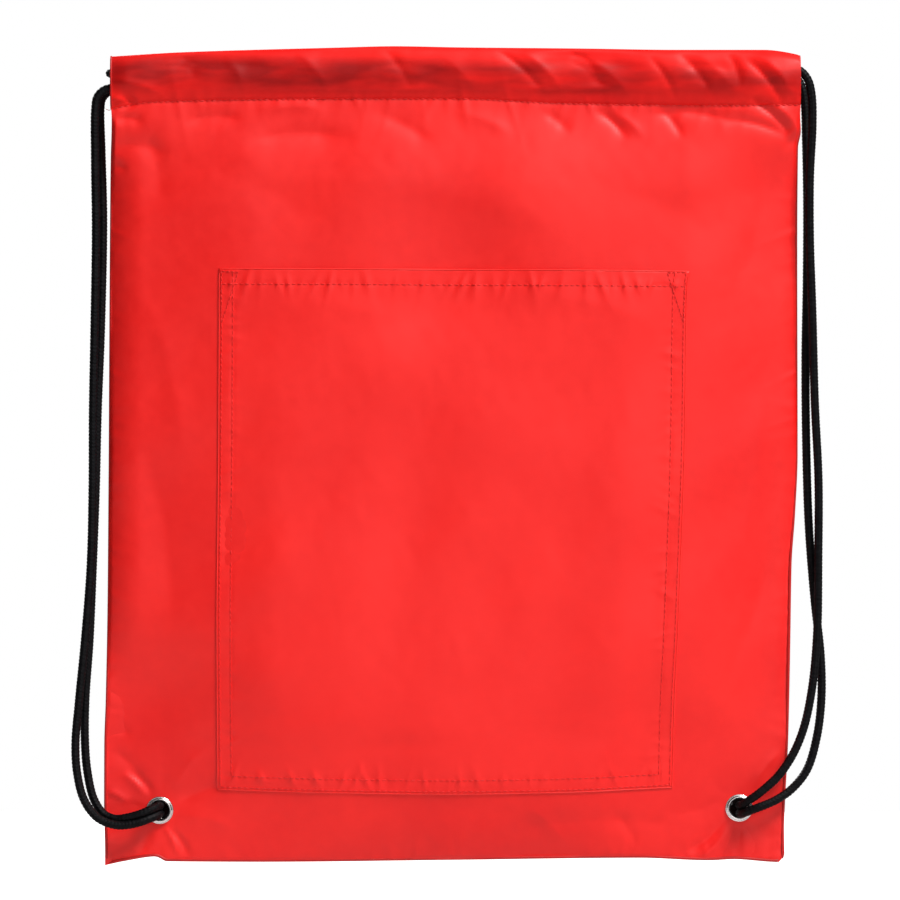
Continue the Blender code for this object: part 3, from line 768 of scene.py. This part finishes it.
def make_knot(side, end):
    """An overhand knot behind the eyelet, with both tails hanging from it."""
    ex, eh = end * KNOT_X, KNOT_H
    t = np.linspace(0, 2 * math.pi, 90)
    size = 2.55 * MM
    loop = [
        at(
            ex + size * (math.sin(a) + 2 * math.sin(2 * a)),
            -0.0105 + 1.05 * size * math.sin(3 * a),
            eh + size * (math.cos(a) - 2 * math.cos(2 * a)),
        )
        for a in t
    ]
    knot, _, _ = braided_tube(f"{side}_knot_braid", loop, closed_ends=False)
    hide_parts(f"{side}_cord_knot")
    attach(knot, "bag")
    for k, lean in enumerate((-1, 1)):
        route = [
            at(ex + 1.6 * MM * lean, -0.0105, eh),
            at(ex + 2.6 * MM * lean, -0.0112, eh - 6 * MM),
            at(ex + 3.8 * MM * lean, -0.0108, eh - 13 * MM),
            at(ex + 4.6 * MM * lean, -0.0100, eh - 20 * MM),
        ]
        tail, _, _ = braided_tube(f"{side}_knot_tail_{k + 1}", smooth_line(route))
        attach(tail, "bag")
    return knot


# --- pocket, seams, stitches and eyelets ------------------------------------------------------------------


def pocket_depth(x, h):
    """The pocket's outer face: sewn down at its sides and bottom, and a little slack inside them."""
    inside = np.minimum(x - pocket_left(h), pocket_right(h) - x)
    above = h - pocket_bottom(x)
    below_top = pocket_top(x) - h
    slack = smooth((inside - 7 * MM) / (26 * MM)) * smooth((above - 7 * MM) / (30 * MM))
    relief = 0.5 * creases(x, h, POCKET_CREASES) + swell(x, h, 41, 0.12, 0.04, 0.28 * MM)
    relief = relief + swell(x, h, 47, 0.03, 0.008, 0.03 * MM)
    relief = relief * smooth(np.minimum(inside, above) / (6 * MM))
    rows = (
        (h, x - pocket_left(h) - INNER_STITCHES, 51, 0.45),
        (h, pocket_right(h) - x - INNER_STITCHES, 52, 0.45),
        (x, above - INNER_STITCHES, 53, 0.85),
        (x, below_top - HEM_STITCHES, 54, 0.90),
    )
    for along, away, seed, size in rows:
        ripples = pucker(along, away, seed, size * MM, reach=3.4 * MM, groove=0.25 * MM, pitch=7 * MM)
        relief = relief + ripples
    flat_wall = wall_depth(x, h, True)
    free = smooth(np.minimum(inside, above) / (1.5 * MM) + 0.3)
    return flat_wall + 0.45 * MM + 1.3 * MM * slack + relief * free


def make_pocket():
    columns, rows = 190, 210
    u, v = np.linspace(0, 1, columns), np.linspace(0, 1, rows)
    nominal = 0.038 + v * 0.272
    x = pocket_left(nominal)[:, None] * (1 - u) + pocket_right(nominal)[:, None] * u
    low, high = pocket_bottom(x), pocket_top(x)
    h = low + (high - low) * v[:, None]
    points = placed(x, pocket_depth(x, h), h)
    pocket = grid_piece("pocket_cloth", points, np.stack([x + 0.4, h], -1), SATIN_POCKET)
    skin = pocket.modifiers.new("cloth", "SOLIDIFY")
    skin.thickness = 0.3 * MM
    skin.offset = -1
    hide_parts("front_pocket", "pocket_hem")
    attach(pocket, "bag")
    v = np.linspace(0, 1, 140)
    h = 0.0386 + v * 0.2700
    across = 0.0005 + v * 0.999
    bottom_x = pocket_left(0.038) * (1 - across) + pocket_right(0.038) * across
    top_x = pocket_left(0.3095) * (1 - across) + pocket_right(0.3090) * across
    folds = {
        "left": (pocket_left(h) + 0.25 * MM, h),
        "right": (pocket_right(h) - 0.25 * MM, h),
        "bottom": (bottom_x, pocket_bottom(bottom_x) + 0.25 * MM),
        "top": (top_x, pocket_top(top_x) - 0.25 * MM),
    }
    # Thin fold strips round the pocket's edges, in the lighter satin: a painted highlight along each edge
    for side, (x, h) in folds.items():
        line = placed(x, pocket_depth(x, h) - 0.05 * MM, h)
        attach(edge_tube(f"pocket_{side}_fold", line, 0.34 * MM, SATIN_FOLD_PAINTED_HIGHLIGHT, sides=8), "bag")


THREAD_RADIUS = 0.24 * MM


def stitch_row(name, line, depth_of, pitch=3.0 * MM, length=2.4 * MM, back=False):
    """A row of separate stitches laid along a line of (x, h) points on a cloth."""
    line = np.array(line, float)
    run = np.concatenate([[0], np.cumsum(np.linalg.norm(np.diff(line, axis=0), axis=1))])
    count = max(1, int(run[-1] / pitch))
    starts = (np.arange(count) + 0.5) * run[-1] / count
    rings = np.array([(-1.0, 0.25), (-0.8, 0.75), (-0.3, 1.0), (0.3, 1.0), (0.8, 0.75), (1.0, 0.25)])
    spokes = np.linspace(0, 2 * math.pi, 6, endpoint=False)
    vertices, quads = [], []
    sign = -1 if back else 1
    for s in starts:
        marks = s + rings[:, 0] * length / 2
        x = np.interp(marks, run, line[:, 0])
        h = np.interp(marks, run, line[:, 1])
        depth = depth_of(x, h) + THREAD_RADIUS * (1.2 - 0.9 * rings[:, 0] ** 4)
        centre = placed(x, sign * depth, h)
        ahead = centre[-1] - centre[0]
        ahead /= np.linalg.norm(ahead)
        out = np.array([0, -sign, 0.0])
        across = np.cross(ahead, out)
        across /= np.linalg.norm(across)
        first = len(vertices)
        for c, r in zip(centre, rings[:, 1] * THREAD_RADIUS):
            vertices += [tuple(c + r * (math.cos(a) * across + math.sin(a) * out)) for a in spokes]
        for i in range(len(rings) - 1):
            for j in range(6):
                k = (j + 1) % 6
                a, b = first + i * 6 + j, first + i * 6 + k
                quads.append((a, b, b + 6, a + 6))
        quads.append(tuple(first + j for j in reversed(range(6))))
        quads.append(tuple(first + (len(rings) - 1) * 6 + j for j in range(6)))
    mesh = bpy.data.meshes.new(name)
    mesh.from_pydata(vertices, [], quads)
    mesh.shade_smooth()
    layer = mesh.uv_layers.new(name="UVMap")
    place = np.array(vertices)[[loop.vertex_index for loop in mesh.loops]]
    layer.data.foreach_set("uv", place[:, [0, 2]].astype(np.float32).ravel())
    item = bpy.data.objects.new(name, mesh)
    item.data.materials.append(THREAD)
    bpy.context.scene.collection.objects.link(item)
    return item


def pocket_stitches(name, x, h, **settings):
    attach(stitch_row(name, np.stack([x, h], 1), pocket_depth, **settings), "bag")


def make_stitches():
    for place, front in (("front", True), ("back", False)):
        depth_of = partial(wall_depth, front=front)
        for side, far in (("left", -0.1755), ("right", 0.1815)):
            x = np.linspace(0.0005 * (-1 if far < 0 else 1), far, 60)
            line = np.stack([x, casing_stitch(x)], 1)
            row = stitch_row(f"{place}_casing_stitches_{side}", line, depth_of, back=not front)
            gather(row)
    v = np.linspace(0, 1, 60)
    for name, inset in (("outer", OUTER_STITCHES), ("inner", INNER_STITCHES)):
        low = 0.0385 + inset
        high = 0.3085
        h = low + (high - low) * v
        for side, x in (("left", pocket_left(h) + inset), ("right", pocket_right(h) - inset)):
            pocket_stitches(f"pocket_{side}_{name}_stitches", x, h)
        x = (pocket_left(0.04) + inset) * (1 - v) + (pocket_right(0.04) - inset) * v
        pocket_stitches(f"pocket_bottom_{name}_stitches", x, pocket_bottom(x) + inset)
    x = np.linspace(-0.1188, 0.1225, 80)
    pocket_stitches("pocket_hem_stitches", x, pocket_top(x) - HEM_STITCHES)
    corners = {
        "left": [(-119, 308.6), (-110, 308.0), (-119, 280.5)],
        "right": [(122.6, 308), (113, 307.8), (121.6, 282)],
    }
    for side, corner in corners.items():
        x, h = np.array([*corner, corner[0]]).T * MM
        pocket_stitches(f"pocket_{side}_bar_tack", x, h, pitch=2.4 * MM, length=1.9 * MM)


def edge_tube(name, line, radius, material, sides=10):
    """A plain round strip along a line, as a folded seam shows at an edge."""
    points, length = resampled(line, 2 * MM)
    tangent = np.gradient(points, axis=0)
    tangent /= np.linalg.norm(tangent, axis=1, keepdims=True)
    normal = np.cross(tangent, (0, 1, 0))
    normal /= np.linalg.norm(normal, axis=1, keepdims=True)
    binormal = np.cross(tangent, normal)
    angle = np.linspace(0, 2 * math.pi, sides, endpoint=False)
    size = np.full(len(points), radius)
    size[[0, -1]] *= 0.05
    ring = np.cos(angle)[:, None, None] * normal + np.sin(angle)[:, None, None] * binormal
    tube = points[None] + size[None, :, None] * ring
    s = np.linspace(0, length, len(points))
    flat = np.stack(np.broadcast_arrays(angle[:, None] * radius, s), -1)
    item = grid_piece(name, tube, flat, material, wraps=True, flip=True)
    return item


def make_seams():
    for side, edge, sign in (("left", left_edge, 1), ("right", right_edge, -1)):
        h = np.linspace(0.002, 0.3735, 120)
        x = edge(h) + sign * 0.8 * MM
        # The seam fold is drawn in the darker satin, a painted shade
        seam = edge_tube(f"{side}_seam_fold", placed(x, 0.0, h), 0.75 * MM, SATIN_EDGE_PAINTED_SHADE)
        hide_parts(f"{side}_side_seam")
        gather(seam)
    x = np.linspace(-0.178, 0.1725, 160)
    seam = edge_tube("bottom_seam_fold", placed(x, 0.0, bottom_edge(x) + 0.8 * MM), 0.8 * MM, SATIN_EDGE_PAINTED_SHADE)
    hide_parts("bottom_seam")
    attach(seam, "bag")


def make_loose_thread():
    """A cut end of thread that sticks out where the left casing's stitches end."""
    route = [(-175.5, 0, 393.4), (-178, 3, 392.6), (-179.6, 6, 393.4)]
    points = [at(x * MM, depth * MM, h * MM) for x, depth, h in route]
    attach(edge_tube("loose_thread", smooth_line(points), 0.16 * MM, THREAD, sides=6), "left_corner")


def make_slit_hems():
    """The turned-in hem round each end of a casing."""
    for side, edge, sign in (("left", left_edge, 1), ("right", right_edge, -1)):
        for place, out in (("front", 1), ("back", -1)):
            t = np.linspace(0, 2 * math.pi, 60)
            x_end = float(edge(CASING_H)) + sign * 0.5 * MM
            low, high = float(casing_stitch(x_end)), float(top_edge(x_end))
            up = 0.5 - 0.5 * np.cos(t)
            belly = 0.75 * np.nan_to_num(casing_belly(up))
            depth = np.where(t < math.pi, 7.55 * MM + CASING_FULL * belly, 7.45 * MM - 2.5 * MM * belly)
            line = placed(np.full_like(t, x_end), out * depth, low + (high - low) * up)
            # The slit hem is drawn in the darker satin, a painted shade
            hem = edge_tube(f"{side}_{place}_slit_fold", line, 0.55 * MM, SATIN_EDGE_PAINTED_SHADE)
            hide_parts(f"{side}_{place}_slit_hem")
            gather(hem)


def turned(name, profile, centre):
    """A ring turned about the Y axis from (radius, depth) points round its section."""
    angle = np.linspace(0, 2 * math.pi, 72, endpoint=False)
    profile = np.array(profile) * MM
    r, d = profile[:, 0][:, None], profile[:, 1][:, None]
    x = centre[0] + r * np.cos(angle)
    h = centre[1] + r * np.sin(angle)
    points = placed(x, d + 0 * x, h)
    points = np.concatenate([points, points[:, :1]], 1)
    item = grid_piece(name, points, points[..., [0, 2]], NICKEL, wraps=True, flip=True)
    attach(item, "bag")
    return item


def make_eyelets():
    for side, centre in EYELETS.items():
        lip = [
            (4.6, 0.2), (4.62, 1.2), (4.8, 1.75), (5.15, 2.2), (5.6, 2.4), (6.1, 2.3), (6.4, 2.0),
            (6.55, 1.85), (6.75, 1.95), (7.0, 1.9), (7.2, 1.6), (7.25, 1.2),
        ]
        shank = [(5.2, 1.2), (5.15, -2.6), (5.9, -2.7), (6.2, -3.0), (5.7, -3.4), (5.0, -3.4), (4.55, -2.8)]
        eyelet = turned(f"{side}_eyelet_metal", [*lip, *shank], centre)
        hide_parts(f"{side}_eyelet")
        ring = [(5.4, -1.4), (7.5, -1.4), (7.75, -1.7), (7.3, -2.2), (5.4, -2.3)]
        washer = turned(f"{side}_washer_metal", ring[::-1], centre)
        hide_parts(f"{side}_eyelet_washer")


make_camera()
SATIN = satin("red_satin_front", (0.96, 0.013, 0.009), (0.84, 0.005, 0.004))
SATIN_BACK = satin("red_satin_back", (0.94, 0.013, 0.009), (0.82, 0.005, 0.004))
SATIN_CASING = satin("red_satin_casing_painted_shade", (0.96, 0.013, 0.009), (0.84, 0.005, 0.004), painted_shade_over_cords=True)
SATIN_POCKET = satin("red_satin_pocket", (0.98, 0.014, 0.010), (0.90, 0.008, 0.006))
# A lighter copy of the pocket satin for the pocket's edge folds: a painted highlight where the edge catches
# the light
SATIN_FOLD_PAINTED_HIGHLIGHT = satin("red_satin_fold_painted_highlight", (0.98, 0.030, 0.022), (0.92, 0.018, 0.014))
# A darker copy of the satin for the folds at the seams and slit ends: painted shade where the cloth turns
# away at the edges
SATIN_EDGE_PAINTED_SHADE = satin("red_satin_edge_painted_shade", (0.62, 0.008, 0.006), (0.46, 0.005, 0.004))
THREAD = satin("red_thread", (0.90, 0.016, 0.012), (0.72, 0.010, 0.008), weave_mm=0.2)
BRAID = braid()
NICKEL = nickel()
make_cords()
wall(True)
wall(False)
casing(True)
casing(False)
make_pocket()
make_seams()
make_slit_hems()
make_loose_thread()
make_stitches()
make_eyelets()
make_studio()
